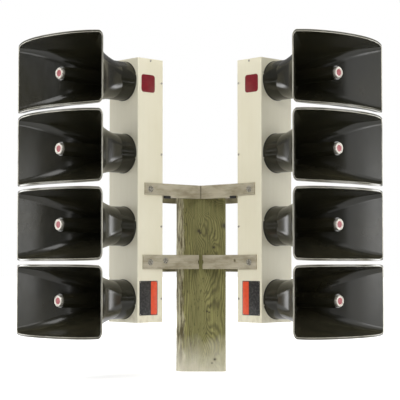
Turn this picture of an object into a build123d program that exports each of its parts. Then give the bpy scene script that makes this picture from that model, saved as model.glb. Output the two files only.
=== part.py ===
from build123d import *
import math
import os

# A siren speaker array clamped to the top of a timber post: two tall cabinets with four horns each.
# Lengths are in millimetres. The origin is the middle of the post's foot, with Z up. The horns face
# out to the front left and the front right, and the front is -Y.

# Post, a sawn timber with a rounded wane edge at its front left
post_width = 216
post_depth = 219
post_wane_radius = 42
post_edge_radius = 14
post_top_drop = 12            # post top below the top edge of the upper bracket
seat_clearance = 0.3          # between the post and whatever seats on it

# Layout of the two arrays
splay_angle = 45              # each horn axis turns this far to the side of the front
cabinet_reach = 223.6         # fold of the front brackets to the back of a cabinet, along the horn axis
cabinet_base_height = 219     # underside of the cabinets above the post's foot
horn_count = 4
horn_pitch = 305
first_horn_rise = 96          # lowest horn axis above the underside of the cabinet
last_horn_drop = 92           # highest horn axis below the top of the cabinet

# Cabinets, folded from sheet
cabinet_depth = 137.8
cabinet_width = 185.9
sheet = 2
bend_radius = 4
lid_lip = 20                  # turned edge of the covers
lid_clearance = 0.3           # covers inside the folded walls
horn_hole_diameter = 70
spigot_clearance = 0.4

# Horns: a round rear housing, and a flare that opens out of it into a wide mouth
gasket_thickness = 3
gasket_proud = 1.5
gasket_notch_width = 6
gasket_notch_depth = 8
gasket_notch_angle = 16       # notch above or below the level, turn about
housing_diameter = 164
housing_length = 130
spigot_length = 12
throat_start = 60             # floor of the flare, in front of the cabinet
mouth_width = 557
mouth_height = 293
mouth_reach = 341             # cabinet face to the side edges of the mouth
lip_bulge = 80                # middle of the lip in front of its side edges
throat_inset = 4               # throat inside the round housing that it opens from
mouth_corner_radius = 25
corner_limit_share = 0.47      # of a section's height, so that its corners never meet
horn_wall = 5
rim_proud = 4
rim_depth = 23
rim_edge_radius = 2.5
# The flare opens from the throat to the mouth at these shares of its length, width and height
flare_length_shares = (0, 0.25, 0.5, 0.75)
flare_width_shares = (0, 0.07, 0.23, 0.55)
flare_height_shares = (0, 0.18, 0.415, 0.67, 0.92, 0.99)
flare_overrun = 20            # flare modelled past the lip before it is trimmed

# Centre tube and its end cap
tube_base_diameter = 66
tube_tip_diameter = 56
tube_bore = 36
tube_tip_reach = 331          # cabinet face to the tip of the centre tube
cap_diameter = 47
cap_flange = 9
cap_edge_radius = 2
cap_spigot_length = 14
cap_spigot_clearance = 0.2

# Brackets, bent from bar
bar = 6
bracket_rise = 3              # middle of a bracket above the midway height of two horns
upper_bracket_height = 50
upper_bracket_length = 326    # along one wing, from the fold
upper_leg_depth = 30
upper_leg_drop = 7
upper_leg_length = 190
lower_bracket_height = 60
lower_bracket_length = 335
lower_gap = 16                # between the inner ends of the two lower arms
split_hole_diameter = 24
arm_hole_diameter = 14.6
arm_hole_reach = 211          # along the wing, from the fold
arm_hole_rise = 6             # above the middle of the arm
upper_rear_drop = 18          # middle of the rear bracket below the middle of its front one
lower_rear_drop = 13
rear_bend_gap = 20            # from the cabinet's back edge to the first bend of a rear bracket
rear_corner_gap = 12          # from the post's side to the bend behind it
rear_bend_radius = 8

os.makedirs("parts", exist_ok=True)

# Heights that follow from the values above
cabinet_height = first_horn_rise + (horn_count - 1) * horn_pitch + last_horn_drop
lowest_horn = cabinet_base_height + first_horn_rise
lower_middle = lowest_horn + horn_pitch / 2 + bracket_rise
upper_middle = lower_middle + horn_pitch
upper_bracket_top = upper_middle + upper_bracket_height / 2
post_length = upper_bracket_top - post_top_drop


# Plan of the left array: out points along the horn axis, inner out of the face that looks to the front
splay = math.radians(splay_angle)
out = Vector(-math.sin(splay), -math.cos(splay), 0)
inner = Vector(math.cos(splay), -math.sin(splay), 0)
up = Vector(0, 0, 1)
fold = Vector(0, -post_depth / 2 - seat_clearance, 0)


def wing_point(reach, inset):
    """Plan point at a reach along the left wing from the fold, set back from the front face."""
    spot = fold + out * reach - inner * inset
    return (spot.X, spot.Y)


def publish(name, shape):
    """Name one sub-part and write its file."""
    shape.label = name
    export_step(shape, f"parts/{name}.step")


def publish_pair(name, shape):
    """Write a left sub-part and its mirror image on the right."""
    publish(f"left_{name}", shape)
    with BuildPart() as twin:
        mirror(shape, about=Plane.YZ)
    publish(f"right_{name}", twin.part)


# Post
with BuildPart() as post:
    with BuildSketch(Plane.XY) as section:
        Rectangle(post_width, post_depth)
        wane_corner = section.vertices().sort_by_distance((-post_width, -post_depth))[0]
        fillet(wane_corner, radius=post_wane_radius)
        back_corners = section.vertices().group_by(Axis.Y)[-1]
        right_corner = section.vertices().sort_by_distance((post_width, -post_depth))[0]
        fillet([*back_corners, right_corner], radius=post_edge_radius)
    extrude(amount=post_length)
publish("post", post.part)

# Cabinet, in a frame with X along the horn axis and the inner face on Y = 0
cabinet_plane = Plane(
    origin=fold + out * cabinet_reach + up * cabinet_base_height, x_dir=out, z_dir=up
)
horn_heights = [first_horn_rise + level * horn_pitch for level in range(horn_count)]
half_width = cabinet_width / 2

# Folded wrapper: the horn face and the two sides, open at the back, the top and the bottom
face_plane = Plane(
    origin=cabinet_plane.from_local_coords(Vector(cabinet_depth, -half_width, 0)), x_dir=inner, z_dir=out
)
with BuildPart() as wrapper:
    with BuildSketch(cabinet_plane):
        with BuildLine():
            Polyline(
                (0, 0), (cabinet_depth, 0), (cabinet_depth, -cabinet_width), (0, -cabinet_width), close=True
            )
        make_face()
    extrude(amount=cabinet_height)
    bends = wrapper.edges().filter_by(Axis.Z).sort_by_distance(face_plane.origin + up * cabinet_height / 2)
    fillet(bends[:2], radius=bend_radius)
    with BuildSketch(cabinet_plane):
        with BuildLine():
            Polyline(
                (0, -sheet),
                (cabinet_depth - sheet, -sheet),
                (cabinet_depth - sheet, sheet - cabinet_width),
                (0, sheet - cabinet_width),
                close=True,
            )
        make_face()
    extrude(amount=cabinet_height, mode=Mode.SUBTRACT)
    with BuildSketch(face_plane):
        with Locations(*[(0, height) for height in horn_heights]):
            Circle(horn_hole_diameter / 2)
    extrude(amount=-sheet, mode=Mode.SUBTRACT)
publish_pair("cabinet_wrapper", wrapper.part)

# Top and bottom lids: shallow pans let into the wrapper, with their edges turned in
lid_depth = cabinet_depth - sheet - lid_clearance
lid_width = cabinet_width - 2 * (sheet + lid_clearance)
lid_middle = lid_depth / 2


def lid(level, turned):
    """A pan at a level in the wrapper, with its edges turned up or down by the lip."""
    floor_plane = Plane(
        origin=cabinet_plane.from_local_coords(Vector(lid_middle, -half_width, level)), x_dir=out, z_dir=up
    )
    with BuildPart() as pan:
        with BuildSketch(floor_plane):
            Rectangle(lid_depth, lid_width)
        extrude(amount=turned * lid_lip)
        with BuildSketch(floor_plane.offset(turned * sheet)):
            Rectangle(lid_depth - 2 * sheet, lid_width - 2 * sheet)
        extrude(amount=turned * (lid_lip - sheet), mode=Mode.SUBTRACT)
    return pan.part


publish_pair("cabinet_top", lid(cabinet_height, -1))
publish_pair("cabinet_bottom", lid(0, 1))

# Back cover between the two lids, with its two long edges turned in
cover_height = cabinet_height - 2 * (lid_lip + lid_clearance)
cover_plane = Plane(
    origin=cabinet_plane.from_local_coords(Vector(0, -half_width, cabinet_height / 2)), x_dir=inner, z_dir=out
)
with BuildPart() as cover:
    with BuildSketch(cover_plane):
        Rectangle(lid_width, cover_height)
    extrude(amount=lid_lip)
    with BuildSketch(cover_plane.offset(sheet)):
        Rectangle(lid_width - 2 * sheet, cover_height)
    extrude(amount=lid_lip - sheet, mode=Mode.SUBTRACT)
publish_pair("cabinet_back", cover.part)

# Horn, made once with its axis on +X and its base on X = 0, then placed on each level
lip_radius = ((mouth_width / 2) ** 2 + lip_bulge**2) / (2 * lip_bulge)
lip_centre = mouth_reach + lip_bulge - lip_radius
flare_length = mouth_reach - throat_start
base_plane = Plane.YZ
throat_plane = base_plane.offset(throat_start)
skin_width = mouth_width - 2 * rim_proud
skin_height = mouth_height - 2 * rim_proud
throat_width = housing_diameter - 2 * throat_inset
throat_corner = throat_width * corner_limit_share


def flare(grow):
    """Flare of the horn, grown or shrunk all round, from the throat to past the lip."""
    past_share = 1 + (lip_bulge + flare_overrun) / flare_length
    slope = (1 - flare_width_shares[-1]) / (1 - flare_length_shares[-1])
    lip_shares = (1, (1 + past_share) / 2, past_share)
    lengths = flare_length_shares + lip_shares
    widths = flare_width_shares + tuple(1 + slope * (share - 1) for share in lip_shares)
    heights = flare_height_shares + (1,)
    with BuildPart() as body:
        for length, width, height in zip(lengths, widths, heights):
            wide = throat_width + (skin_width - throat_width) * width + 2 * grow
            tall = throat_width + (skin_height - throat_width) * height + 2 * grow
            ease = throat_corner + (mouth_corner_radius - throat_corner) * min(length, 1)
            corner = min(ease + grow, tall * corner_limit_share)
            with BuildSketch(throat_plane.offset(flare_length * length)):
                RectangleRounded(wide, tall, corner)
        loft()
    return body.part


def drum(radius):
    """Upright cylinder that trims the mouth to its curved lip."""
    with BuildPart() as body:
        with BuildSketch(Plane.XY.offset(-mouth_height)):
            with Locations((lip_centre, 0)):
                Circle(radius)
        extrude(amount=2 * mouth_height)
    return body.part


# Outer skin, trimmed to the curved lip, with a rim band round the mouth
with BuildPart() as rim:
    add(flare(rim_proud))
    add(drum(lip_radius), mode=Mode.INTERSECT)
    add(drum(lip_radius - rim_depth), mode=Mode.SUBTRACT)
with BuildPart() as bell:
    add(flare(0))
    add(drum(lip_radius), mode=Mode.INTERSECT)
    with BuildSketch(base_plane.offset(gasket_thickness)):
        Circle(housing_diameter / 2)
    extrude(amount=housing_length - gasket_thickness)
    add(rim.part)
    add(flare(-horn_wall), mode=Mode.SUBTRACT)
    with BuildSketch(base_plane.offset(gasket_thickness - spigot_length)):
        Circle(horn_hole_diameter / 2 - spigot_clearance)
    extrude(amount=spigot_length)
    fillet(bell.faces().sort_by(Axis.X)[-1].edges(), radius=rim_edge_radius)

# Centre tube on the throat floor, with a bore for the cap's spigot
floor = throat_start
tube_end = tube_tip_reach
with BuildPart() as tube:
    with BuildSketch(Plane.XY):
        with BuildLine():
            Polyline(
                (floor, tube_bore / 2),
                (floor, tube_base_diameter / 2),
                (tube_end, tube_tip_diameter / 2),
                (tube_end, tube_bore / 2),
                close=True,
            )
        make_face()
    revolve(axis=Axis.X)

# End cap: a flange on the tube's tip and a spigot in its bore
with BuildPart() as cap:
    with BuildSketch(base_plane.offset(tube_end)):
        Circle(cap_diameter / 2)
    extrude(amount=cap_flange)
    fillet(cap.edges().group_by(Axis.X)[-1], radius=cap_edge_radius)
    with BuildSketch(base_plane.offset(tube_end - cap_spigot_length)):
        Circle(tube_bore / 2 - cap_spigot_clearance)
    extrude(amount=cap_spigot_length)


# The four horns of an array, numbered from the top
horn_places = [Plane(origin=face_plane.origin + up * height, x_dir=out, z_dir=up) for height in horn_heights]
for level, place in enumerate(reversed(horn_places), start=1):
    for name, shape in {"bell": bell.part, "centre_tube": tube.part, "end_cap": cap.part}.items():
        with BuildPart() as placed:
            with Locations(place):
                add(shape)
        publish_pair(f"{name}_{level}", placed.part)

# Gasket rings under the rear housings, each with a notch in its edge, turn about below and above the axis
with BuildPart() as gaskets:
    for level, height in enumerate(horn_heights):
        turn = gasket_notch_angle if level % 2 else -gasket_notch_angle
        with BuildSketch(Plane(origin=face_plane.origin + up * height, x_dir=inner, z_dir=out)):
            Circle(housing_diameter / 2 + gasket_proud)
            Circle(horn_hole_diameter / 2, mode=Mode.SUBTRACT)
            with PolarLocations(housing_diameter / 2, 1, start_angle=turn):
                Rectangle(2 * gasket_notch_depth, gasket_notch_width, mode=Mode.SUBTRACT)
        extrude(amount=gasket_thickness)
publish_pair("gaskets", gaskets.part)


def fold_point(inset):
    """Plan point where a wing's face at an inset meets the middle plane."""
    return wing_point(-inset / math.tan(splay), inset)


def v_bar(reach):
    """Plan outline of the left half of a front bar, bent at the middle plane."""
    return [fold_point(0), wing_point(reach, 0), wing_point(reach, -bar), fold_point(-bar)]


# Upper front bracket: one bar bent at the post, with a leg turned back along its lower edge
upper_bottom = upper_bracket_top - upper_bracket_height
leg_bottom = upper_bottom - upper_leg_drop
with BuildPart() as upper_front:
    with BuildSketch(Plane.XY.offset(upper_bottom)):
        with BuildLine():
            Polyline(*v_bar(upper_bracket_length), close=True)
        make_face()
    extrude(amount=upper_bracket_height)
    with BuildSketch(Plane.XY.offset(leg_bottom)):
        with BuildLine():
            Polyline(*v_bar(upper_leg_length), close=True)
        make_face()
    extrude(amount=upper_leg_drop)
    with BuildSketch(Plane.XY.offset(leg_bottom)):
        with BuildLine():
            Polyline(
                fold_point(0),
                wing_point(upper_leg_length, 0),
                wing_point(upper_leg_length, upper_leg_depth),
                fold_point(upper_leg_depth),
                close=True,
            )
        make_face()
        Rectangle(post_width + 2 * seat_clearance, post_depth + 2 * seat_clearance, mode=Mode.SUBTRACT)
    extrude(amount=bar)
    mirror(about=Plane.YZ)
publish("upper_front_bracket", upper_front.part)

# Lower front arms: two bars with a gap between them, hooked back on to the post
lower_bottom = lower_middle - lower_bracket_height / 2
hook_reach = (lower_gap / 2 + bar) / math.sin(splay)
end_reach = lower_gap / 2 / math.sin(splay)
with BuildPart() as lower_arm:
    with BuildSketch(Plane.XY.offset(lower_bottom)):
        with BuildLine():
            Polyline(
                (-lower_gap / 2, fold.Y),
                (-lower_gap / 2 - bar, fold.Y),
                wing_point(hook_reach, 0),
                wing_point(lower_bracket_length, 0),
                wing_point(lower_bracket_length, -bar),
                (-lower_gap / 2, wing_point(end_reach, 0)[1] - bar / math.sin(splay)),
                close=True,
            )
        make_face()
    extrude(amount=lower_bracket_height)
    with BuildSketch(Plane.XZ.offset(-fold.Y)):
        with Locations((0, lower_middle)):
            Circle(split_hole_diameter / 2)
    extrude(amount=lower_bracket_length, mode=Mode.SUBTRACT)
    hole_spot = fold + out * arm_hole_reach + up * (lower_middle + arm_hole_rise)
    with BuildSketch(Plane(origin=hole_spot, x_dir=out, z_dir=inner)):
        Circle(arm_hole_diameter / 2)
    extrude(amount=bar, mode=Mode.SUBTRACT)
publish_pair("lower_arm", lower_arm.part)


def rear_bracket(middle, height, reach):
    """Bar from the outer face of one cabinet, round the back of the post, to the other cabinet."""
    back = post_depth / 2 + seat_clearance
    left = [
        wing_point(reach, cabinet_width),
        wing_point(cabinet_reach - rear_bend_gap, cabinet_width),
        (-post_width / 2 - rear_corner_gap, back),
    ]
    right = [(-x, y) for x, y in reversed(left)]
    with BuildPart() as bent:
        with BuildSketch(Plane.XY.offset(middle - height / 2)):
            with BuildLine():
                FilletPolyline(*left, *right, radius=rear_bend_radius)
                offset(amount=bar, side=Side.LEFT)
            make_face()
        extrude(amount=height)
    return bent.part


upper_rear = rear_bracket(upper_middle - upper_rear_drop, upper_bracket_height, upper_bracket_length)
publish("upper_rear_bracket", upper_rear)
lower_rear = rear_bracket(lower_middle - lower_rear_drop, lower_bracket_height, lower_bracket_length)
publish("lower_rear_bracket", lower_rear)
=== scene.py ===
# %% [markdown]
# # A siren speaker array on a timber post
# The solid parts come from the CAD model, which is loaded as a fixed frame in metres. This lesson
# dresses that frame: a camera, soft studio light, a material for every part, and the small pieces
# that are easier to model here than in CAD, such as bolts, screws, plates and split wood.

import math

import bmesh
import bpy
from mathutils import Matrix, Vector, noise


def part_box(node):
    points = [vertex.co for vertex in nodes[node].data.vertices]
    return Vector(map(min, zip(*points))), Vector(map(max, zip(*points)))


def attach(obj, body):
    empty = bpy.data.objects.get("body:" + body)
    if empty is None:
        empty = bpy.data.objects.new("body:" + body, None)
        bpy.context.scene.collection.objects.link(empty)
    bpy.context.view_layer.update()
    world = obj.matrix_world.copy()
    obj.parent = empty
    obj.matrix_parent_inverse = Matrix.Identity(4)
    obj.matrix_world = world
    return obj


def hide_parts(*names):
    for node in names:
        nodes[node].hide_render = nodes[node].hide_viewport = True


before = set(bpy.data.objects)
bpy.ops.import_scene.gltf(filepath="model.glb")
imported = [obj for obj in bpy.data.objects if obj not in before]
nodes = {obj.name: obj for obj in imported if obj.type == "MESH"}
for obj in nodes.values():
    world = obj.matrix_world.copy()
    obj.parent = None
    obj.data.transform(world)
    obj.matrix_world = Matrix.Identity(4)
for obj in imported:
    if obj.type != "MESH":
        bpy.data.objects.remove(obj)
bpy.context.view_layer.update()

# %% [markdown]
# ## The camera
# The photograph was taken a little below the middle of the horns, from just under six metres and a
# hand's width to the right, with a long lens tilted up by about three degrees. A pinhole camera
# was fitted to the corners of the cabinets, horns and brackets, and these are its values.

# %% Camera
lens_tilt = math.radians(2.777)
lens_turn = 0.02078
camera_data = bpy.data.cameras.new("camera")
camera_data.lens = 118.25
camera_data.sensor_width = 36.0
camera = bpy.data.objects.new("camera", camera_data)
camera.location = (0.1146, -5.7917, 0.4632)
camera.rotation_euler = (math.radians(90) + lens_tilt, 0, lens_turn)
bpy.context.scene.collection.objects.link(camera)
bpy.context.scene.camera = camera
bpy.context.scene.view_settings.view_transform = "Standard"
print("camera at", tuple(round(v, 3) for v in camera.location))

# %% [markdown]
# ## The studio
# Dark glossy plastic shows mostly what is around it, so the surroundings matter as much as the
# lamps. The world is white for the camera, dimmer for plain lighting, so that the painted colours
# render about as written, and dim in reflections, so that the horns stay deep and the lamps draw
# their highlights. Two low lamps far out to the front put a sheen on the far walls of the lower
# horns, and two behind, out of the picture, draw the highlights on the housings.


# %% World
lit_level = 0.58
mirrored_level = 0.26
world = bpy.data.worlds.new("studio")
bpy.context.scene.world = world
world.use_nodes = True
tree = world.node_tree
tree.nodes.clear()
path = tree.nodes.new("ShaderNodeLightPath")
lit = tree.nodes.new("ShaderNodeMath")
lit.operation = "MULTIPLY_ADD"
lit.inputs[1].default_value = mirrored_level - lit_level
lit.inputs[2].default_value = lit_level
seen = tree.nodes.new("ShaderNodeMath")
seen.operation = "MAXIMUM"
level = tree.nodes.new("ShaderNodeMath")
level.operation = "MAXIMUM"
sky = tree.nodes.new("ShaderNodeBackground")
sky.inputs["Color"].default_value = (1, 1, 1, 1)
out = tree.nodes.new("ShaderNodeOutputWorld")
tree.links.new(path.outputs["Is Glossy Ray"], lit.inputs[0])
tree.links.new(path.outputs["Is Camera Ray"], seen.inputs[0])
tree.links.new(path.outputs["Is Transmission Ray"], seen.inputs[1])
tree.links.new(lit.outputs[0], level.inputs[0])
tree.links.new(seen.outputs[0], level.inputs[1])
tree.links.new(level.outputs[0], sky.inputs["Strength"])
tree.links.new(sky.outputs[0], out.inputs["Surface"])
print("world set")


# %% Lamps
def soft_lamp(name, place, aim, size, watts):
    """A square area lamp at a place, turned to face an aim point."""
    data = bpy.data.lights.new(name, "AREA")
    data.shape = "SQUARE"
    data.size = size
    data.energy = watts
    lamp = bpy.data.objects.new(name, data)
    lamp.location = place
    lamp.rotation_euler = (Vector(aim) - Vector(place)).to_track_quat("-Z", "Y").to_euler()
    bpy.context.scene.collection.objects.link(lamp)


middle = Vector((0, -0.3, 0.75))
soft_lamp("key_lamp", (-1.4, -5.0, 3.8), middle, size=3.0, watts=124)
soft_lamp("fill_lamp", (2.6, -4.6, 1.6), middle, size=4.0, watts=64)
for word, side, sheen_watts in (("left", -1, 16), ("right", 1, 22)):
    soft_lamp(word + "_panel", (side * 2.6, -0.9, 0.9), (side * 0.7, -0.5, 0.8), size=1.5, watts=40)
    soft_lamp(word + "_sheen", (side * 3.1, -5.0, 0.7), (side * 0.7, -0.4, 0.6), size=1.2, watts=sheen_watts)
    soft_lamp(word + "_back_lamp", (side * 2.3, 1.05, 0.6), (side * -0.35, -0.45, 0.65), size=1.0, watts=15)
soft_lamp("top_lamp", (0, 0.6, 4.4), middle, size=2.0, watts=60)


# %% [markdown]
# ## The floor
# A pale floor carries the foot of the post. It is lit like any matt floor and also glows a little
# for the camera, so that it meets the white background without a line and still keeps the shadow.

# %% Floor
shape = bmesh.new()
bmesh.ops.create_circle(shape, cap_ends=True, segments=64, radius=40.0)
floor_mesh = bpy.data.meshes.new("floor")
shape.to_mesh(floor_mesh)
shape.free()
floor = bpy.data.objects.new("floor", floor_mesh)
bpy.context.scene.collection.objects.link(floor)
floor_paint = bpy.data.materials.new("floor_paint")
floor_paint.use_nodes = True
tree = floor_paint.node_tree
shader = tree.nodes["Principled BSDF"]
shader.inputs["Base Color"].default_value = (0.8, 0.8, 0.8, 1)
shader.inputs["Roughness"].default_value = 0.9
shader.inputs["Specular IOR Level"].default_value = 0.0
shader.inputs["Emission Color"].default_value = (1, 1, 1, 1)
seen = tree.nodes.new("ShaderNodeLightPath")
away = tree.nodes.new("ShaderNodeVectorMath")
away.operation = "LENGTH"
tree.links.new(tree.nodes.new("ShaderNodeTexCoord").outputs["Object"], away.inputs[0])
glow_near, glow_far = 0.40, 0.85
fade_start, fade_end = 0.6, 2.6
fade = tree.nodes.new("ShaderNodeMapRange")
for place, value in enumerate((fade_start, fade_end, glow_near, glow_far), start=1):
    fade.inputs[place].default_value = value
tree.links.new(away.outputs["Value"], fade.inputs[0])
glow = tree.nodes.new("ShaderNodeMath")
glow.operation = "MULTIPLY"
tree.links.new(fade.outputs[0], glow.inputs[1])
tree.links.new(seen.outputs["Is Camera Ray"], glow.inputs[0])
tree.links.new(glow.outputs[0], shader.inputs["Emission Strength"])
floor_mesh.materials.append(floor_paint)
print("floor", len(floor_mesh.polygons), "face")

# %% [markdown]
# ## Tools for materials
# Every finish here is a pattern worked out from the place on the object, so it needs no pictures.
# Small functions keep the later cells short: they add a shader node and set or link its inputs,
# mix colours, stretch a value, start a material or a node group, and put a finish on nodes. Colours
# are written as 0 to 255 values, as a colour picker shows them, and turned into the linear values
# of the shader.


# %% Shader helpers
def paint(red, green, blue):
    """Picker values from 0 to 255 as a linear colour."""
    linear = [
        ((v / 255 + 0.055) / 1.055) ** 2.4 if v > 10 else v / 255 / 12.92
        for v in (red, green, blue)
    ]
    return (*linear, 1.0)


def feed(tree, made, inputs):
    """Fills a node's inputs, each with a value or with another node's output."""
    for key, value in (inputs or {}).items():
        if isinstance(value, bpy.types.NodeSocket):
            tree.links.new(value, made.inputs[key])
        else:
            made.inputs[key].default_value = value


def put(tree, kind, inputs=None, **settings):
    """Adds a shader node with its settings and inputs."""
    made = tree.nodes.new("ShaderNode" + kind)
    for key, value in settings.items():
        setattr(made, key, value)
    feed(tree, made, inputs)
    return made


def math_of(tree, operation, first, second=0.0, clamp=False):
    """One sum of two values or outputs."""
    return put(tree, "Math", {0: first, 1: second}, operation=operation, use_clamp=clamp).outputs[0]


def mixed(tree, share, first, second):
    """Two colours, mixed by a share."""
    made = put(tree, "Mix", {0: share, 6: first, 7: second}, data_type="RGBA", blend_type="MIX")
    return made.outputs[2]


def spread(tree, value, low, high, start=0.0, end=1.0):
    """A value from low to high, stretched to run from start to end and held there."""
    return put(tree, "MapRange", {0: value, 1: low, 2: high, 3: start, 4: end}).outputs[0]


def finish_named(name):
    """A new material with its tree and its main shader."""
    made = bpy.data.materials.new(name)
    made.use_nodes = True
    return made, made.node_tree, made.node_tree.nodes["Principled BSDF"]


def group_named(name, takes, gives):
    """A new node group with its sockets, and the nodes for its two ends."""
    made = bpy.data.node_groups.new(name, "ShaderNodeTree")
    for label, kind in takes:
        made.interface.new_socket(label, in_out="INPUT", socket_type="NodeSocket" + kind)
    for label, kind in gives:
        made.interface.new_socket(label, in_out="OUTPUT", socket_type="NodeSocket" + kind)
    return made, made.nodes.new("NodeGroupInput").outputs, made.nodes.new("NodeGroupOutput").inputs


def use_group(tree, group, inputs=None):
    """Puts a node group into a tree and returns its outputs."""
    made = tree.nodes.new("ShaderNodeGroup")
    made.node_tree = group
    feed(tree, made, inputs)
    return made.outputs


def place_on(tree):
    """The place on the object, in metres, as a vector output."""
    return put(tree, "TexCoord").outputs["Object"]


def dress(finish, *words):
    """Puts a finish on every node whose name holds one of the words."""
    dressed = [node for name, node in nodes.items() if any(word in name for word in words)]
    for node in dressed:
        node.data.materials.clear()
        node.data.materials.append(finish)
    print(finish.name, "on", len(dressed), "nodes")


print("cream as linear", [round(v, 3) for v in paint(222, 216, 197)])

# %% [markdown]
# ## Clouds, streaks and dust
# Most wear on an outdoor object is one of two patterns. A cloud is soft noise, even or stretched
# along one way, and serves for stains, brushed metal and rain streaks. Dust lies on what looks
# up. Each is a node group, so that all the finishes share it.

# %% Cloud and dust groups
cloud, takes, gives = group_named(
    "cloud", [("Stretch", "Vector"), ("Low", "Float"), ("High", "Float")], [("Value", "Float")],
)
where = place_on(cloud)
scaled = put(cloud, "VectorMath", {0: where, 1: takes["Stretch"]}, operation="MULTIPLY").outputs[0]
soft = put(cloud, "TexNoise", {"Vector": scaled, "Scale": 1.0, "Detail": 5.0, "Roughness": 0.6})
soft_value = spread(cloud, soft.outputs["Fac"], takes["Low"], takes["High"])
cloud.links.new(soft_value, gives["Value"])


def cloud_of(tree, stretch, low, high):
    """A cloud, stretched along each way, that runs from 0 at low noise to 1 at high noise."""
    return use_group(tree, cloud, {"Stretch": stretch, "Low": low, "High": high})["Value"]


dust, takes, gives = group_named("dust", [("Amount", "Float")], [("Value", "Float")])
looks = put(dust, "SeparateXYZ", {0: put(dust, "NewGeometry").outputs["Normal"]}).outputs["Z"]
lying = spread(dust, looks, 0.3, 1.0)
patchy = cloud_of(dust, (14, 14, 14), 0.35, 0.7)
held = math_of(dust, "MULTIPLY", lying, math_of(dust, "ADD", patchy, 0.35))
dust.links.new(math_of(dust, "MULTIPLY", held, takes["Amount"], clamp=True), gives["Value"])
print("groups", [g.name for g in bpy.data.node_groups])

# %% [markdown]
# ## Horn plastic
# The horns are moulded in one olive-black plastic with a semi-gloss skin. The colour hardly
# changes; what the eye reads is the reflection, so the roughness varies softly over the surface,
# and a thin dust lies on what faces up. The two edges of each lip are paled in the colour, partly
# as wear where they were handled and partly as a painted highlight along the rims: all lips of a
# side lie on one upright cylinder, so the distance from its axis finds the lip, and the rounded
# edges are the thin zone just inside its outer face.

# %% Horn plastic
horn_plastic, tree, shader = finish_named("horn_plastic")
lip_axis_x, lip_axis_y = 0.24788, -0.22622
lip_inner_edge, lip_outer_edge = (0.5218, 0.5230), (0.5240, 0.5247)
cloudy = cloud_of(tree, (7, 7, 7), 0.3, 0.7)
fine = cloud_of(tree, (60, 60, 25), 0.3, 0.7)
skin = mixed(tree, cloudy, paint(24, 24, 17), paint(34, 32, 21))
settled = use_group(tree, dust, {"Amount": 0.12})["Value"]
colour = mixed(tree, settled, skin, paint(120, 114, 92))
parts = put(tree, "SeparateXYZ", {0: place_on(tree)}).outputs
off_x = math_of(tree, "SUBTRACT", math_of(tree, "ABSOLUTE", parts["X"]), lip_axis_x)
off_y = math_of(tree, "SUBTRACT", parts["Y"], lip_axis_y)
plan = put(tree, "CombineXYZ", {"X": off_x, "Y": off_y}).outputs[0]
from_axis = put(tree, "VectorMath", {0: plan}, operation="LENGTH").outputs["Value"]
past_inner = spread(tree, from_axis, *lip_inner_edge, 0.0, 0.75)
before_outer = spread(tree, from_axis, *lip_outer_edge, 1.0, 0.1)
at_lip = math_of(tree, "MULTIPLY", past_inner, before_outer)
# Pale lip edges: partly wear, partly a painted highlight along the two rim edges.
lip_patches = cloud_of(tree, (18, 18, 18), 0.15, 0.6)
lip_wear_and_highlight = math_of(tree, "MULTIPLY", at_lip, math_of(tree, "ADD", lip_patches, 0.25), clamp=True)
tree.links.new(mixed(tree, lip_wear_and_highlight, colour, paint(196, 192, 176)), shader.inputs["Base Color"])
tree.links.new(spread(tree, fine, 0.0, 1.0, 0.16, 0.23), shader.inputs["Roughness"])
shader.inputs["Specular IOR Level"].default_value = 0.42
dress(horn_plastic, "_bell_", "_centre_tube_")

# %% [markdown]
# ## Cabinet paint
# The cabinets are folded sheet with a satin cream paint. It has faded unevenly, rain has drawn
# faint streaks down the faces, and the lower ends have picked up some grime. Streaks are clouds
# that are stretched far along the height.

# %% Cabinet paint
cabinet_paint, tree, shader = finish_named("cabinet_paint")
faded = cloud_of(tree, (5, 5, 2.5), 0.3, 0.7)
rain = cloud_of(tree, (70, 70, 2.2), 0.45, 0.75)
colour = mixed(tree, faded, paint(219, 213, 188), paint(226, 221, 199))
colour = mixed(tree, math_of(tree, "MULTIPLY", rain, 0.12), colour, paint(205, 196, 168))
height = put(tree, "SeparateXYZ", {0: place_on(tree)}).outputs["Z"]
low_down = spread(tree, height, 0.22, 0.42, 0.35, 0.0)
spotted = cloud_of(tree, (45, 45, 30), 0.45, 0.65)
colour = mixed(tree, math_of(tree, "MULTIPLY", low_down, spotted), colour, paint(176, 164, 132))
settled = use_group(tree, dust, {"Amount": 0.5})["Value"]
tree.links.new(mixed(tree, settled, colour, paint(186, 178, 150)), shader.inputs["Base Color"])
tree.links.new(spread(tree, faded, 0.0, 1.0, 0.42, 0.56), shader.inputs["Roughness"])
peel = put(tree, "TexNoise", {"Vector": place_on(tree), "Scale": 420.0, "Detail": 1.0})
peel_bump = put(tree, "Bump", {"Height": peel.outputs["Fac"], "Strength": 0.04, "Distance": 0.001})
tree.links.new(peel_bump.outputs[0], shader.inputs["Normal"])
dress(cabinet_paint, "_cabinet_")

# %% [markdown]
# ## Bracket steel
# The bars are stainless flat stock: dull, brushed along their length and stained by weather. The
# brushing is a cloud stretched along the level ways; the stains are larger clouds that lower the
# metal look as well as the colour. A thin dark line is painted along the middle, where the upper
# bar bends, as painted shade in the crease of the bend; the rear bars carry the same line at their middle.

# %% Bracket steel
bracket_steel, tree, shader = finish_named("bracket_steel")
brushed = cloud_of(tree, (6, 6, 420), 0.3, 0.7)
stained = cloud_of(tree, (9, 9, 30), 0.42, 0.7)
colour = mixed(tree, brushed, paint(176, 168, 146), paint(198, 191, 172))
colour = mixed(tree, math_of(tree, "MULTIPLY", stained, 0.75), colour, paint(116, 105, 76))
parts = put(tree, "SeparateXYZ", {0: place_on(tree)}).outputs
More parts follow.
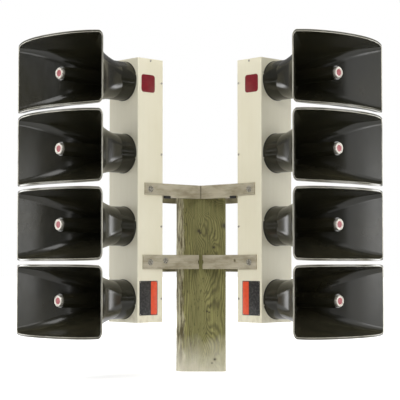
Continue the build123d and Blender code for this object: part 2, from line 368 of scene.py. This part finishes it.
# Painted shade: a thin dark line at the middle, standing for the shade in the crease of the bend.
fold = spread(tree, math_of(tree, "ABSOLUTE", parts["X"]), 0.001, 0.004, 0.6, 0.0)
tree.links.new(mixed(tree, fold, colour, paint(70, 63, 46)), shader.inputs["Base Color"])
tree.links.new(spread(tree, stained, 0.0, 1.0, 0.3, 0.15), shader.inputs["Metallic"])
tree.links.new(spread(tree, brushed, 0.0, 1.0, 0.34, 0.48), shader.inputs["Roughness"])
dress(bracket_steel, "bracket", "_arm")

# %% [markdown]
# ## Rubber and bright steel
# The gaskets under the horns are matt black rubber, slightly chalky where it has aged. The caps on
# the centre tubes are turned steel, so their brushing is finer and brighter than on the bars. Both
# are one cloud that moves the colour and the roughness together, and later cells use that again.


# %% Rubber and bright steel
def clouded_finish(name, stretch, low, high, colours, roughness, metallic=0.0):
    """A material that runs between two colours and two roughnesses along one cloud."""
    made, tree, shader = finish_named(name)
    share = cloud_of(tree, stretch, low, high)
    tree.links.new(mixed(tree, share, paint(*colours[0]), paint(*colours[1])), shader.inputs["Base Color"])
    tree.links.new(spread(tree, share, 0.0, 1.0, *roughness), shader.inputs["Roughness"])
    shader.inputs["Metallic"].default_value = metallic
    return made


gasket_rubber = clouded_finish(
    "gasket_rubber", (40, 40, 40), 0.35, 0.7, ((20, 20, 20), (44, 43, 40)), (0.6, 0.8),
)
cap_steel = clouded_finish(
    "cap_steel", (180, 180, 180), 0.3, 0.7, ((138, 135, 126), (184, 180, 170)), (0.22, 0.34),
    metallic=0.55,
)
dress(gasket_rubber, "_gaskets")
dress(cap_steel, "_end_cap_")

# %% [markdown]
# ## The post as timber
# The post is a heavy sawn timber, treated against rot, with one waney corner where the saw met the
# outside of the log. The CAD post gives its size. This piece stands for it: the same box with
# rounded edges, cut into a fine grid so that the faces can sink and the waney corner can crumble.
# Points only ever move inwards, so nothing presses into the brackets.

# %% Post shape
post_low, post_high = (Vector(corner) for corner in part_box("post"))
sawn_round, waney_round = 0.014, 0.042
grid = 0.0065
shape = bmesh.new()
bmesh.ops.create_cube(shape, size=1.0)
bmesh.ops.scale(shape, vec=post_high - post_low, verts=shape.verts)
bmesh.ops.translate(shape, vec=(post_high + post_low) / 2, verts=shape.verts)


def upright_edges(waney):
    """The long edges of the waney front left corner, or those of the other corners."""
    long_ones = [e for e in shape.edges if abs(e.verts[0].co.z - e.verts[1].co.z) > 0.1]
    return [e for e in long_ones if (e.verts[0].co.x < -0.1 and e.verts[0].co.y < -0.1) == waney]


bmesh.ops.bevel(
    shape, geom=upright_edges(False), offset=sawn_round, segments=4, profile=0.5, affect="EDGES", material=-1,
)
bmesh.ops.bevel(
    shape, geom=upright_edges(True), offset=waney_round, segments=8, profile=0.5, affect="EDGES", material=-1,
)
for axis in range(3):
    for step in range(1, int((post_high[axis] - post_low[axis]) / grid)):
        cut = [0.0, 0.0, 0.0]
        cut[axis] = post_low[axis] + step * grid
        way = [0.0, 0.0, 0.0]
        way[axis] = 1.0
        everything = shape.verts[:] + shape.edges[:] + shape.faces[:]
        bmesh.ops.bisect_plane(shape, geom=everything, plane_co=cut, plane_no=way, dist=0.0004)
shape.normal_update()


wane_x, wane_back_y = -0.064, -0.04
wane_wander, wane_blend = 0.012, 0.008


def wane_share(place):
    """How much a point belongs to the waney corner, from 0 to 1, with a ragged border."""
    if place.y >= wane_back_y:
        return 0.0
    border = wane_x + wane_wander * noise.noise(Vector((place.z * 14, 3.1, place.z * 3)))
    return max(0.0, min(1.0, (border - place.x) / wane_blend))


chipped_at, chip_radius, chip_depth = Vector((0.108, -0.1095, 0.628)), 0.016, 0.009
flake_depth, saw_depth = 0.0045, 0.0007
for vert in shape.verts:
    spot = vert.co
    rough = noise.noise(Vector((spot.x * 60, spot.y * 60, spot.z * 7)))
    sink = saw_depth * (1 + rough)
    flakes = noise.noise(Vector((spot.x * 45, spot.y * 45, spot.z * 16)))
    sink += wane_share(spot) * flake_depth * max(0.0, flakes + 0.15)
    notch = (spot - chipped_at).length / chip_radius
    sink += chip_depth * math.exp(-notch * notch)
    if 0.002 < spot.z < post_high.z - 0.002:
        vert.co = spot - vert.normal * sink
post_mesh = bpy.data.meshes.new("timber_post")
shape.to_mesh(post_mesh)
shape.free()
post_mesh.polygons.foreach_set("use_smooth", [True] * len(post_mesh.polygons))
post_mesh.set_sharp_from_angle(angle=math.radians(40))
timber_post = bpy.data.objects.new("timber_post", post_mesh)
bpy.context.scene.collection.objects.link(timber_post)
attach(timber_post, "root")
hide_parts("post")
print("timber post", len(post_mesh.polygons), "faces")

# %% [markdown]
# ## Grain that runs round knots
# Sawn faces show the yearly rings as lines along the timber. Where a branch grew, the rings swell
# round it, and the lines become arches and closed loops. So the grain is drawn as contour lines:
# a height that rises evenly across the face, with a smooth hill added for every knot.

# %% Knot group
knot, takes, gives = group_named(
    "knot", [("Place", "Vector"), ("Middle", "Vector"), ("Tightness", "Vector")], [("Hill", "Float")],
)
offset = put(knot, "VectorMath", {0: takes["Place"], 1: takes["Middle"]}, operation="SUBTRACT")
scaled = put(knot, "VectorMath", {0: offset.outputs[0], 1: takes["Tightness"]}, operation="MULTIPLY").outputs[0]
square = put(knot, "VectorMath", {0: scaled, 1: scaled}, operation="DOT_PRODUCT").outputs["Value"]
knot.links.new(math_of(knot, "EXPONENT", math_of(knot, "MULTIPLY", square, -1.0)), gives["Hill"])

# %% Grain group
grain, _, gives = group_named(
    "grain", [], [("Lines", "Float"), ("Fibre", "Float"), ("Knots", "Float")],
)
where = place_on(grain)
parts = put(grain, "SeparateXYZ", {0: where}).outputs
wander = put(grain, "TexNoise", {
    "Vector": put(grain, "VectorMath", {0: where, 1: (11, 11, 2.4)}, operation="MULTIPLY").outputs[0],
    "Scale": 1.0, "Detail": 3.0, "Roughness": 0.55,
}).outputs["Fac"]
rise = math_of(grain, "MULTIPLY", math_of(grain, "ADD", parts["X"], parts["Y"]), 105.0)
rise = math_of(grain, "ADD", rise, math_of(grain, "MULTIPLY", wander, 7.0))
hills = [
    ((0.042, -0.11, 0.745), (10, 9, 17), 12.0),
    ((0.022, -0.11, 0.245), (21, 9, 8), 7.0),
    ((-0.0065, -0.11, 0.602), (34, 9, 20), 3.5),
    ((0.056, -0.11, 0.534), (60, 9, 30), 2.5),
    ((0.060, -0.11, 0.052), (50, 9, 26), 2.5),
    ((0.108, 0.02, 0.36), (9, 22, 9), 6.0),
    ((-0.108, 0.03, 0.55), (9, 20, 8), 7.0),
    ((-0.02, 0.11, 0.42), (18, 9, 8), 7.0),
]
for middle_at, tightness, lines in hills:
    hill = use_group(grain, knot, {"Place": where, "Middle": middle_at, "Tightness": tightness})["Hill"]
    rise = math_of(grain, "ADD", rise, math_of(grain, "MULTIPLY", hill, lines))
wave = math_of(grain, "SINE", math_of(grain, "MULTIPLY", rise, 2 * math.pi))
grain.links.new(spread(grain, wave, -0.6, 1.0), gives["Lines"])
strands = put(grain, "TexNoise", {
    "Vector": put(grain, "VectorMath", {0: where, 1: (230, 230, 9)}, operation="MULTIPLY").outputs[0],
    "Scale": 1.0, "Detail": 4.0, "Roughness": 0.65,
}).outputs["Fac"]
grain.links.new(spread(grain, strands, 0.3, 0.7), gives["Fibre"])
eyes = [
    ((-0.0075, -0.11, 0.604), (120, 60, 140)),
    ((-0.0025, -0.11, 0.597), (190, 60, 150)),
    ((0.056, -0.11, 0.534), (150, 60, 160)),
    ((0.027, -0.11, 0.258), (230, 60, 240)),
    ((0.036, -0.11, 0.254), (230, 60, 240)),
    ((0.060, -0.11, 0.052), (170, 60, 190)),
    ((0.048, -0.11, 0.036), (330, 60, 300)),
    ((0.104, -0.10, 0.628), (70, 60, 90)),
    ((0.108, 0.02, 0.36), (60, 150, 150)),
    ((-0.108, 0.03, 0.55), (60, 140, 150)),
]
dark = None
for middle_at, tightness in eyes:
    eye = use_group(grain, knot, {"Place": where, "Middle": middle_at, "Tightness": tightness})["Hill"]
    dark = eye if dark is None else math_of(grain, "MAXIMUM", dark, eye)
grain.links.new(dark, gives["Knots"])
print("grain with", len(hills), "hills and", len(eyes), "knots")

# %% [markdown]
# ## Treated and weathered wood
# The treatment has turned the wood olive green, strongest near the top. The waney corner is bare
# sapwood, pale with ragged brown streaks, and towards the foot the colour pales almost to white.

# %% Post wood
post_wood, tree, shader = finish_named("post_wood")
grown = use_group(tree, grain)
parts = put(tree, "SeparateXYZ", {0: place_on(tree)}).outputs
patches = cloud_of(tree, (16, 16, 5), 0.3, 0.7)
base = mixed(tree, patches, paint(80, 80, 28), paint(150, 147, 88))
streaks = cloud_of(tree, (75, 75, 3.2), 0.36, 0.64)
base = mixed(tree, math_of(tree, "MULTIPLY", streaks, 0.6), base, paint(70, 65, 28))
upper = spread(tree, parts["Z"], 0.42, 0.66)
base = mixed(tree, math_of(tree, "MULTIPLY", upper, 0.4), base, paint(76, 74, 32))
base = mixed(tree, math_of(tree, "MULTIPLY", grown["Fibre"], 0.55), base, paint(166, 161, 108))
late = math_of(tree, "MULTIPLY", grown["Lines"], 0.58)
flecked = cloud_of(tree, (130, 130, 34), 0.58, 0.68)
base = mixed(tree, math_of(tree, "MULTIPLY", flecked, 0.75), base, paint(44, 38, 18))
base = mixed(tree, late, base, paint(60, 54, 26))
ragged = cloud_of(tree, (22, 22, 11), 0.3, 0.7)
edge_at = math_of(tree, "ADD", parts["X"], math_of(tree, "MULTIPLY", ragged, 0.024))
at_edge = spread(tree, edge_at, -0.058, -0.066)
at_front = spread(tree, parts["Y"], -0.03, -0.07)
bare = math_of(tree, "MULTIPLY", at_edge, at_front)
torn = cloud_of(tree, (80, 80, 11), 0.4, 0.58)
sap = mixed(tree, torn, paint(178, 172, 144), paint(72, 62, 36))
base = mixed(tree, math_of(tree, "MULTIPLY", bare, 0.9), base, sap)
foot_at = math_of(tree, "ADD", parts["Z"], math_of(tree, "MULTIPLY", ragged, 0.06))
foot = spread(tree, foot_at, 0.19, 0.03)
base = mixed(tree, math_of(tree, "MULTIPLY", foot, 0.75), base, paint(206, 201, 182))
base = mixed(tree, math_of(tree, "MULTIPLY", grown["Knots"], 0.95, clamp=True), base, paint(38, 28, 18))
tree.links.new(base, shader.inputs["Base Color"])
tree.links.new(spread(tree, grown["Fibre"], 0.0, 1.0, 0.72, 0.88), shader.inputs["Roughness"])
relief = math_of(tree, "SUBTRACT", grown["Fibre"], math_of(tree, "MULTIPLY", grown["Knots"], 2.0))
relief = math_of(tree, "SUBTRACT", relief, math_of(tree, "MULTIPLY", grown["Lines"], 0.6))
wood_bump = put(tree, "Bump", {"Height": relief, "Strength": 0.5, "Distance": 0.0012})
tree.links.new(wood_bump.outputs[0], shader.inputs["Normal"])
post_mesh.materials.append(post_wood)
print("post wood set")

# %% [markdown]
# ## Places on the cabinets
# Each cabinet stands on a wing that runs out from the fold of the front bracket at 45 degrees. A
# place on it is easiest to say as a reach along the wing, an inset away from the inner face and a
# height. The functions here turn that into the shared frame, for the left side (-1) or the right
# side (1), stand a small shape on a face, and join such shapes into one piece.

# %% Places
fold_y = -0.1098
diagonal = math.sqrt(0.5)
cabinet_near, cabinet_far, cabinet_width = 0.2236, 0.3614, 0.1859
horn_heights = (1.230, 0.925, 0.620, 0.315)
bar_thickness = 0.006


def face_way(side, which):
    """The way that a face of a cabinet looks: inner, outer or front."""
    out = Vector((side * diagonal, -diagonal, 0))
    inner = Vector((-side * diagonal, -diagonal, 0))
    return {"inner": inner, "outer": -inner, "front": out}[which]


def on_wing(side, reach, inset, height):
    """A place on a wing in the shared frame, in metres."""
    fold = Vector((0, fold_y, height))
    return fold + face_way(side, "front") * reach - face_way(side, "inner") * inset


def stand_on(place, normal, turn=0.0):
    """A matrix that stands a shape, made round its own Z, on an upright face, with its Y up."""
    across = Vector((0, 0, 1)).cross(normal).normalized()
    turned = Matrix((across, normal.cross(across), normal)).transposed().to_4x4()
    return Matrix.Translation(place) @ turned @ Matrix.Rotation(turn, 4, "Z")


def make_piece(name, shapes, finish):
    """Joins small shapes, each with its matrix, into one piece that rides with the object."""
    whole = bmesh.new()
    for source, matrix in shapes:
        part_mesh = bpy.data.meshes.new(name + "_part")
        source.to_mesh(part_mesh)
        part_mesh.transform(matrix)
        whole.from_mesh(part_mesh)
        bpy.data.meshes.remove(part_mesh)
    bmesh.ops.recalc_face_normals(whole, faces=whole.faces)
    mesh = bpy.data.meshes.new(name)
    whole.to_mesh(mesh)
    whole.free()
    mesh.polygons.foreach_set("use_smooth", [True] * len(mesh.polygons))
    mesh.set_sharp_from_angle(angle=math.radians(35))
    mesh.materials.append(finish)
    piece = bpy.data.objects.new(name, mesh)
    bpy.context.scene.collection.objects.link(piece)
    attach(piece, "root")
    print(name, "-", len(shapes), "shapes,", len(mesh.polygons), "faces")


print("left cabinet's inner face at", [round(v, 3) for v in on_wing(-1, cabinet_near, 0, 0.22)])

# %% [markdown]
# ## Bolts, washers and nuts
# A hexagon head is a six-sided prism with its top corners turned off, standing on a washer. The
# prism is a cone shape with equal radii; its top edges are bevelled, and the top face is inset
# and sunk a little, as the heads of forged bolts are.


# %% Bolt shapes
def turned_shape(profile, steps=28):
    """A solid of revolution round Z from (radius, height) points."""
    shape = bmesh.new()
    points = [shape.verts.new((radius, 0, height)) for radius, height in profile]
    rims = [shape.edges.new(pair) for pair in zip(points, points[1:])]
    bmesh.ops.spin(
        shape, geom=points + rims, cent=(0, 0, 0), axis=(0, 0, 1), angle=2 * math.pi, steps=steps,
    )
    bmesh.ops.remove_doubles(shape, verts=shape.verts, dist=0.00001)
    return shape


def hex_shape(radius, low, high, dish):
    """A hexagon head between two heights, with a dished top."""
    shape = bmesh.new()
    bmesh.ops.create_cone(
        shape, cap_ends=True, segments=6, radius1=radius, radius2=radius, depth=high - low,
    )
    bmesh.ops.translate(shape, vec=(0, 0, (high + low) / 2), verts=shape.verts)
    top = [e for e in shape.edges if min(v.co.z for v in e.verts) > high - 1e-6]
    bmesh.ops.bevel(
        shape, geom=top, offset=radius * 0.12, segments=2, profile=0.5, affect="EDGES", material=-1,
    )
    crown = max(shape.faces, key=lambda f: f.calc_center_median().z)
    bmesh.ops.inset_region(shape, faces=[crown], thickness=radius * 0.18, depth=-dish)
    return shape


washer = turned_shape([
    (0.004, 0), (0.0128, 0), (0.0136, 0.0006), (0.0136, 0.0016), (0.0130, 0.0021), (0.004, 0.0021),
])
head = hex_shape(0.0102, 0.0019, 0.0088, 0.0006)
stud = turned_shape([(0, 0.004), (0.0052, 0.004), (0.0052, 0.0106), (0.0044, 0.0114), (0, 0.0114)], 20)
print("bolt head", len(head.faces), "faces")

# %% [markdown]
# ## Bracket bolts
# Each bar is bolted to its cabinet at its end. The front bars carry a washer, a nut and the end of
# the stud on the inner faces, and the rear bars the same on the outer faces. The lower left arm
# has one more nut in its spare hole, which stays empty on the right, as in the photograph.

# %% Bolt places
bolt_reach = 0.296
front_bar_heights, rear_bar_heights = (0.7745, 0.4695), (0.7575, 0.4575)
spare_hole_reach, spare_hole_height = 0.211, 0.4765
bolted = []
for side in (-1, 1):
    for which, inset, heights in (
        ("inner", -bar_thickness, front_bar_heights),
        ("outer", cabinet_width + bar_thickness, rear_bar_heights),
    ):
        for height in heights:
            place = on_wing(side, bolt_reach, inset, height)
            nut_turn = 0.35 * side + height
            matrix = stand_on(place, face_way(side, which), nut_turn)
            bolted += [(washer, matrix), (head, matrix), (stud, matrix)]
spare_place = on_wing(-1, spare_hole_reach, -bar_thickness, spare_hole_height)
spare = stand_on(spare_place, face_way(-1, "inner"), 0.2)
bolted += [(washer, spare), (head, spare), (stud, spare)]
make_piece("bracket_bolts", bolted, cap_steel)

# %% [markdown]
# ## Cover screws
# The lids and the back covers are held by small pan-head screws near the edges of the sides. A
# screw is turned as a low dome with a sunk centre in place of its cross; at this size the eye reads
# a dark centre in a bright button.

# %% Cover screws
back_screw_reach, back_screw_heights = 0.2300, (1.224, 0.923, 0.619, 0.317)
lid_screw_reach, lid_screw_height = 0.292, 1.3135
pan = turned_shape([
    (0, 0.0012), (0.0012, 0.0012), (0.0016, 0.0026), (0.0034, 0.0022), (0.0044, 0.0012), (0.0046, 0.0),
], 18)
screwed = []
for side in (-1, 1):
    for which, inset in (("inner", 0.0), ("outer", cabinet_width)):
        places = [on_wing(side, back_screw_reach, inset, height) for height in back_screw_heights]
        places.append(on_wing(side, lid_screw_reach, inset, lid_screw_height))
        screwed += [(pan, stand_on(place, face_way(side, which))) for place in places]
make_piece("cover_screws", screwed, cap_steel)

# %% [markdown]
# ## Discs on the centre tubes
# The cap of each centre tube carries a small enamelled disc in a bright rim. The discs in the
# photograph bear a mark, which is left off: here they are plain white enamel with a plain red
# spot, so that the colours still answer the photograph.

# %% Disc finishes
white_enamel = clouded_finish(
    "white_enamel", (150, 150, 150), 0.35, 0.75, ((190, 183, 174), (160, 150, 140)), (0.25, 0.45),
)
red_enamel = clouded_finish(
    "red_enamel", (70, 70, 70), 0.3, 0.75, ((128, 16, 30), (104, 14, 25)), (0.3, 0.45),
)
print("enamels", white_enamel.name, red_enamel.name)

# %% Discs
cap_reach = cabinet_far + 0.340
rim = turned_shape([
    (0.0184, 0.0), (0.0226, 0.0), (0.0228, 0.0012), (0.0217, 0.0024), (0.0198, 0.0022), (0.0186, 0.0010),
], 40)
enamel = turned_shape([
    (0, 0.0016), (0.010, 0.0015), (0.0155, 0.0012), (0.0184, 0.0008), (0.0184, 0.0), (0, 0.0),
], 40)
spot = turned_shape([(0, 0.0024), (0.0095, 0.0023), (0.0134, 0.0020), (0.0140, 0.0010), (0, 0.0010)], 32)
caps = [
    stand_on(on_wing(side, cap_reach, cabinet_width / 2, height), face_way(side, "front"))
    for side in (-1, 1) for height in horn_heights
]
make_piece("disc_rims", [(rim, matrix) for matrix in caps], cap_steel)
make_piece("enamel_discs", [(enamel, matrix) for matrix in caps], white_enamel)
make_piece("enamel_spots", [(spot, matrix) for matrix in caps], red_enamel)

# %% [markdown]
# ## Patches and plates on the inner faces
# Near the top of each inner face the photograph has a red mark, and near its foot a plate in two
# colours with small print. Both are made plain: a red patch with rounded corners and a blank
# black plate with an orange field. A plate is a thin block with its upright edges rounded.


# %% Plate shapes
def plate_shape(width, height, thickness, radius, edge):
    """A thin plate round the origin, its back on Z = 0, with rounded corners and a softened rim."""
    shape = bmesh.new()
    bmesh.ops.create_cube(shape, size=1.0)
    bmesh.ops.scale(shape, vec=(width, height, thickness), verts=shape.verts)
    bmesh.ops.translate(shape, vec=(0, 0, thickness / 2), verts=shape.verts)
    corners = [e for e in shape.edges if abs(e.verts[0].co.z - e.verts[1].co.z) > thickness / 2]
    bmesh.ops.bevel(
        shape, geom=corners, offset=radius, segments=6, profile=0.5, affect="EDGES", material=-1,
    )
    rim = [e for e in shape.edges if min(v.co.z for v in e.verts) > thickness - 1e-6]
    bmesh.ops.bevel(shape, geom=rim, offset=edge, segments=2, profile=0.5, affect="EDGES", material=-1)
    return shape


plate_black = clouded_finish(
    "plate_black", (90, 90, 130), 0.45, 0.8, ((30, 29, 29), (84, 82, 80)), (0.38, 0.6),
)
plate_orange = clouded_finish(
    "plate_orange", (60, 60, 60), 0.4, 0.75, ((222, 78, 40), (200, 70, 40)), (0.4, 0.55),
)
print("plate finishes", plate_black.name, plate_orange.name)

# %% Patches and plates
patch_reach, patch_height = 0.306, 1.217
field_reach, strip_reach, field_height = 0.3015, 0.2715, 0.3205
field_thickness, rivet_inset = 0.0008, -0.0012
rivet_reaches, rivet_heights = (0.2560, 0.3470), (0.2535, 0.3875)
patches, fields, strips, rivets = [], [], [], []
patch = plate_shape(0.074, 0.074, thickness=0.0010, radius=0.012, edge=0.0003)
field = plate_shape(0.100, 0.143, thickness=field_thickness, radius=0.003, edge=0.0002)
strip = plate_shape(0.034, 0.137, thickness=0.0005, radius=0.002, edge=0.0001)
rivet = turned_shape([(0, 0.0016), (0.0012, 0.0014), (0.0021, 0.0008), (0.0024, 0.0)], 14)
for side in (-1, 1):
    inner = face_way(side, "inner")
    patches.append((patch, stand_on(on_wing(side, patch_reach, 0, patch_height), inner)))
    fields.append((field, stand_on(on_wing(side, field_reach, 0, field_height), inner)))
    strips.append((strip, stand_on(on_wing(side, strip_reach, -field_thickness, field_height), inner)))
    for reach in rivet_reaches:
        for height in rivet_heights:
            rivets.append((rivet, stand_on(on_wing(side, reach, rivet_inset, height), inner)))
make_piece("red_patches", patches, red_enamel)
make_piece("blank_plates", fields, plate_black)
make_piece("plate_strips", strips, plate_orange)
make_piece("plate_rivets", rivets, cap_steel)

# %% [markdown]
# ## Dark pads for shade
# A short black pad sits under each end of the leg of the upper bracket, where the bracket passes
# the near edge of a cabinet. The pads are dark pieces that stand for the shade in the gap there.

# %% Pads
pad_reach, pad_height = 0.2065, 0.7435
pad = plate_shape(0.031, 0.011, thickness=0.010, radius=0.002, edge=0.001)
pads = [
    (pad, stand_on(on_wing(side, pad_reach, -bar_thickness, pad_height), face_way(side, "inner")))
    for side in (-1, 1)
]
# Painted shade: black pads put where the gap under the ends of the leg lies in shade.
make_piece("shade_pads", pads, gasket_rubber)
